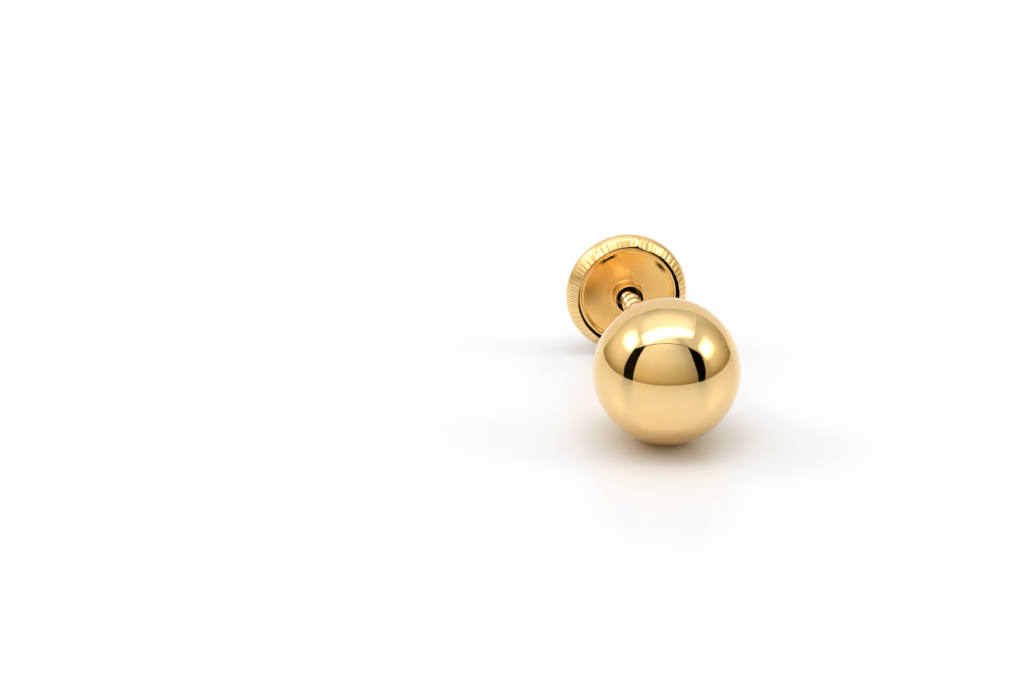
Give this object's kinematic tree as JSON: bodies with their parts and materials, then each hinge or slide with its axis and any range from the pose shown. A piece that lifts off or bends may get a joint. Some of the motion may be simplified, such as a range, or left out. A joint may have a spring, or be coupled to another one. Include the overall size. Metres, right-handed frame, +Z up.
{
  "type": "ball stud earring",
  "caption": "Ball stud earring in yellow gold: a polished ball soldered to a threaded post, with a round screw back whose folded rim is coined with fine flutes.",
  "frame": {"origin": "on the table, below the middle of the stud as it lies on its ball and on the rim of its screw back", "axes": "+Y from the ball to the screw back, +Z up"},
  "size_m": [0.007, 0.0166, 0.007],
  "materials": {
    "polished_gold": "polished",
    "coined_gold": "polished",
    "satin_gold": "satin"
  },
  "bodies": {
    "stud": {"ball_and_post": "polished_gold"},
    "barrel": {"threaded_barrel": "satin_gold"},
    "screw_back": {"back_cap": "coined_gold", "back_plate": "satin_gold"}
  },
  "joints": [
    {"name": "screw_travel", "type": "slide", "parent": "stud", "child": "barrel", "axis": [0, 0.9993, -0.0372], "range_m": [-0.00035, 0.000583]},
    {"name": "screw_spin", "type": "hinge", "parent": "barrel", "child": "screw_back", "pos_m": [0, 0.0061, 0.00309], "axis": [0, 0.9993, -0.0372], "range_deg": [-180.1, 300.1]}
  ],
  "couplings": [
    {"joint": "screw_spin", "follows": "screw_travel", "rad_per_m": 8976}
  ]
}
